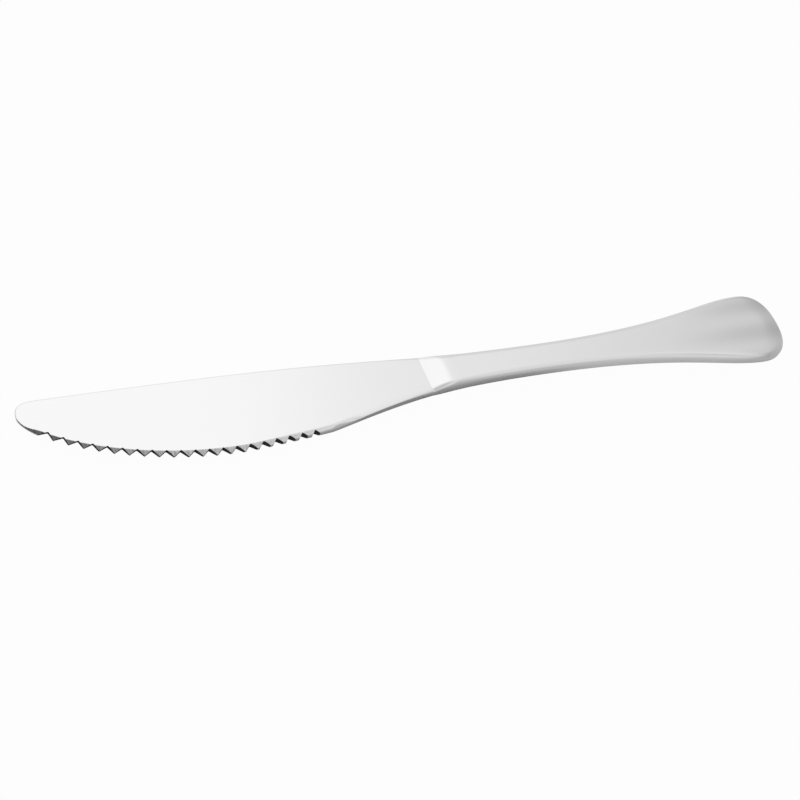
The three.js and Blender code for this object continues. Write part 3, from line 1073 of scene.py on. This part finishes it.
@dataclass
class HandleShell(HandlePart):
    """One pressed half shell of the handle."""

    face: Face = Face.UPPER
    steel: Steel = HANDLE_STEEL

    def build(self) -> bpy.types.Object:
        """Builds the shell's mesh: outer and inner surface, open on the mid-plane and in front.

        Returns:
            The new object.
        """
        outer = self.lines(self.stations(0.0), 0.0, self.face)
        inner = self.lines(self.stations(self.form.sheet), self.form.sheet, self.face)
        mesh = SolidMesh()
        rings = mesh.tube(outer, inner)
        mesh.strip(rings[0], front=True)
        half = rings.shape[1] // 2
        inside, outside = rings[-1][:half], rings[-1][half:]
        mesh.lid(inside)
        mesh.lid(outside)
        mesh.lid(np.array([inside[0], inside[-1], outside[0], outside[-1]])[::-1])
        return mesh.to_object(f"handle_skin_{self.face.name.lower()}", self.form)

    def dress(self, piece: bpy.types.Object) -> None:
        """Gives the shell its steel."""
        piece.data.materials.append(self.steel.material(f"handle_steel_{self.face.name.lower()}"))


@dataclass
class SolderRing(HandlePart):
    """The thin layer of solder between the bolster and the shells."""

    metal: Steel = SOLDER_METAL

    def build(self) -> bpy.types.Object:
        """Builds the ring's mesh as two halves that meet on the mid-plane.

        Returns:
            The new object.
        """
        ends = np.array([self.form.joint, self.form.mouth])
        mesh = SolidMesh()
        for face in Face:
            outer = self.lines(ends, 0.0, face)
            inner = self.lines(ends, self.form.sheet, face)
            rings = mesh.tube(outer, inner)
            mesh.strip(rings[0], front=True)
            mesh.strip(rings[-1], front=False)
        return mesh.to_object("solder_layer", self.form)

    def dress(self, piece: bpy.types.Object) -> None:
        """Gives the ring its metal."""
        piece.data.materials.append(self.metal.material("solder_metal"))


@dataclass
class HandleFilling:
    """The cement inside the handle, which keeps its solid."""

    cement: Cement = FILLING_CEMENT

    def dress(self) -> None:
        """Gives the solid its cement."""
        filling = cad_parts["handle_filling"]
        filling.data.materials.clear()
        filling.data.materials.append(self.cement.material("handle_cement"))
        log.info("%s keeps its solid: %d faces", filling.name, len(filling.data.polygons))


@dataclass(frozen=True)
class Fade:
    """A smooth change of brightness: the span of directions that it covers, and its two values."""

    span: Pair
    values: Pair

    def over(self, recipe: Recipe, source: Socket) -> Socket:
        """The brightness by one coordinate of the direction."""
        return recipe.ease(source, self.span, self.values)


@dataclass(frozen=True)
class Sky:
    """The soft light of a studio, brighter and darker by direction.

    The spans are shares of a direction: along the knife towards the end of the handle, and across it towards
    the spine.
    """

    # Light from above
    tip_glow: Fade = Fade((0.43, 0.505), (1.14, 0.955))
    end_fall: Fade = Fade((0.52, 0.72), (1.0, 0.6))
    tip_fall: Fade = Fade((-0.4, 0.2), (0.6, 1.0))
    back_fall: Fade = Fade((0.52, 0.66), (1.0, 0.88))
    low_front: Fade = Fade((-0.9, -0.45), (0.53, 0.9))
    overhead: Fade = Fade((0.1, 0.36), (0.0, 0.3))

    # Darker parts in front of the tip, the middle and the end
    tip_dark: Fade = Fade((-0.25, 0.25), (0.5, 1.0))
    tip_span: Pair = (-0.1, 0.35)
    middle_dark: Fade = Fade((-0.75, -0.45), (1.25, 0.7))
    middle_rise: Pair = (-0.2, 0.3)
    middle_span: Pair = (0.45, 0.58)
    end_dark: Fade = Fade((-0.45, 0.05), (0.71, 1.0))
    end_rise: Pair = (0.66, 0.72)
    end_span: Pair = (0.55, 0.66)

    def above(self, recipe: Recipe, along: Socket, across: Socket) -> Socket:
        """Brightness without the darker parts in front.

        Args:
            recipe: The nodes of the sky.
            along: The direction's share along the knife.
            across: Its share across the knife.

        Returns:
            The brightness.
        """
        level = self.tip_glow.over(recipe, along)
        for fade, source in ((self.end_fall, along), (self.tip_fall, along), (self.back_fall, across)):
            level = recipe.math("MULTIPLY", level, fade.over(recipe, source))
        most = recipe.math("ADD", self.low_front.over(recipe, across), self.overhead.over(recipe, across))
        return recipe.math("MINIMUM", level, most)

    def front(self, recipe: Recipe, along: Socket, across: Socket) -> Socket:
        """Share of the brightness that the darker parts in front leave.

        Args:
            recipe: The nodes of the sky.
            along: The direction's share along the knife.
            across: Its share across the knife.

        Returns:
            The share.
        """
        tip = recipe.ease(along, self.tip_span, (self.tip_dark.over(recipe, across), 1.0))
        middle = recipe.ease(across, self.middle_rise, (self.middle_dark.over(recipe, across), 1.0))
        middle = recipe.ease(along, self.middle_span, (middle, 1.0))
        end = recipe.ease(along, self.end_rise, (self.end_dark.over(recipe, across), 1.0))
        end = recipe.ease(along, self.end_span, (1.0, end))
        return recipe.math("MULTIPLY", recipe.math("MULTIPLY", tip, middle), end)

    def build(self) -> None:
        """Lights the scene with the sky, in whose place the camera sees plain white."""
        world = bpy.data.worlds.new("studio")
        bpy.context.scene.world = world
        recipe = Recipe(world)
        direction = recipe.split(recipe.node("TexCoord").outputs["Generated"])
        along, across = direction.outputs["X"], direction.outputs["Y"]
        above = self.above(recipe, along, across)
        front = self.front(recipe, along, across)
        sky = recipe.nodes["Background"]
        recipe.feed(sky, {"Strength": recipe.math("MULTIPLY", above, front), "Color": (1.0, 1.0, 1.0, 1.0)})
        white = recipe.feed(recipe.node("Background"), {"Strength": 1.0})
        seen = recipe.node("LightPath").outputs["Is Camera Ray"]
        mixed = recipe.node("MixShader")
        recipe.feed(mixed, {"Fac": seen, 1: sky.outputs["Background"], 2: white.outputs["Background"]})
        recipe.feed(recipe.nodes["World Output"], {"Surface": mixed.outputs["Shader"]})


@dataclass
class Studio:
    """The white table, the sky around it, and the camera.

    The camera's place is given about the knife in millimetres. The table's sizes are in metres. The whites
    are the shares of plain white in what the camera sees of the table, and in what the steel mirrors of it.
    The white that the steel mirrors is a painted reflection.
    """

    form: KnifeForm
    target: Triple = (90.86, -5.475, 0.0)
    distance: float = 547.36
    right: Triple = (0.8496, -0.3798, 0.3662)
    up: Triple = (0.1265, 0.8205, 0.5575)
    back: Triple = (-0.5122, -0.4272, 0.7451)
    lens: float = 108.09
    sensor: float = 36.0
    clip: float = 0.01
    table_size: float = 6.0
    paper_tone: float = 0.62
    white_seen: float = 0.97
    white_behind: float = 0.6
    behind_span: Pair = (0.003, 0.008)
    white_beside: float = 0.3
    beside_span: Pair = (0.02, 0.05)
    sky: Sky = Sky()

    def place_camera(self) -> None:
        """Places the camera of the photograph."""
        data = bpy.data.cameras.new("camera")
        data.lens = self.lens
        data.sensor_width = self.sensor
        data.clip_start = self.clip
        camera = bpy.data.objects.new("camera", data)
        turn = Matrix((self.right, self.up, self.back)).transposed().normalized()
        place = np.array(self.target) + np.array(Vector(self.back).normalized()) * self.distance
        camera.matrix_world = Matrix.Translation(self.form.to_frame(place)) @ turn.to_4x4()
        bpy.context.scene.collection.objects.link(camera)
        bpy.context.scene.camera = camera

    def lay_table(self) -> None:
        """Lays the white table under the knife."""
        half = self.table_size / 2
        mesh = bpy.data.meshes.new("table")
        corners = [(-half, -half, 0), (half, -half, 0), (half, half, 0), (-half, half, 0)]
        mesh.from_pydata(corners, [], [(0, 1, 2, 3)])
        table = bpy.data.objects.new("table", mesh)
        bpy.context.scene.collection.objects.link(table)
        mesh.materials.append(self.table_material())

    def table_material(self) -> bpy.types.Material:
        """White paper that the camera sees as plain white, with the knife's shadow.

        The steel mirrors it brighter behind the knife and beside the handle, where the table glows white to
        glossy rays only: a painted reflection, not a lamp.

        Returns:
            The new material.
        """
        made = bpy.data.materials.new("white_table")
        recipe = Recipe(made)
        recipe.nodes.remove(recipe.nodes["Principled BSDF"])
        tone = (self.paper_tone, self.paper_tone, self.paper_tone, 1.0)
        paper = recipe.feed(recipe.node("BsdfDiffuse"), {"Color": tone})
        white = recipe.feed(recipe.node("Emission"), {"Strength": 1.0})
        seen = recipe.node("LightPath")
        direct = recipe.math("MULTIPLY", seen.outputs["Is Camera Ray"], self.white_seen)
        place = recipe.split(recipe.node("NewGeometry").outputs["Position"])
        # painted reflection: the table glows white only in the steel's mirror rays, behind the knife and
        # beside the handle
        behind = recipe.ease(place.outputs["Y"], self.behind_span, (0.0, self.white_behind))
        beside = recipe.ease(place.outputs["X"], self.beside_span, (0.0, self.white_beside))
        glow = recipe.math("MAXIMUM", behind, beside)
        mirrored = recipe.math("MULTIPLY", seen.outputs["Is Glossy Ray"], glow)
        share = recipe.math("ADD", direct, mirrored)
        mixed = recipe.node("MixShader")
        recipe.feed(mixed, {"Fac": share, 1: paper.outputs["BSDF"], 2: white.outputs["Emission"]})
        recipe.feed(recipe.nodes["Material Output"], {"Surface": mixed.outputs["Shader"]})
        return made

    def build(self) -> None:
        """Sets up plain colour, the camera, the table and the sky."""
        bpy.context.scene.view_settings.view_transform = "Standard"
        self.place_camera()
        self.lay_table()
        self.sky.build()


def mount(piece: bpy.types.Object, node: str) -> None:
    """Fixes a piece to the knife in place of a solid.

    Args:
        piece: The dressed piece.
        node: Name of the solid that it stands for.
    """
    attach(piece, "root")
    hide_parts(node)
    log.info("%s stands for %s: %d faces", piece.name, node, len(piece.data.polygons))


def main() -> None:
    """Builds the knife and its studio."""
    logging.basicConfig(level=logging.INFO)
    form = KnifeForm()
    parts = [
        (Blade(form), "blade", "blade_steel"),
        (SolderRing(form), "solder_ring", "solder"),
        (HandleShell(form, face=Face.UPPER), "handle_shell_upper", "handle_steel"),
        (HandleShell(form, face=Face.LOWER), "handle_shell_lower", "handle_steel"),
    ]
    for part, node, slot in parts:
        piece = part.build()
        part.dress(piece)
        mount(piece, node)
    HandleFilling().dress()
    Studio(form).build()


if __name__ == "__main__":
    main()
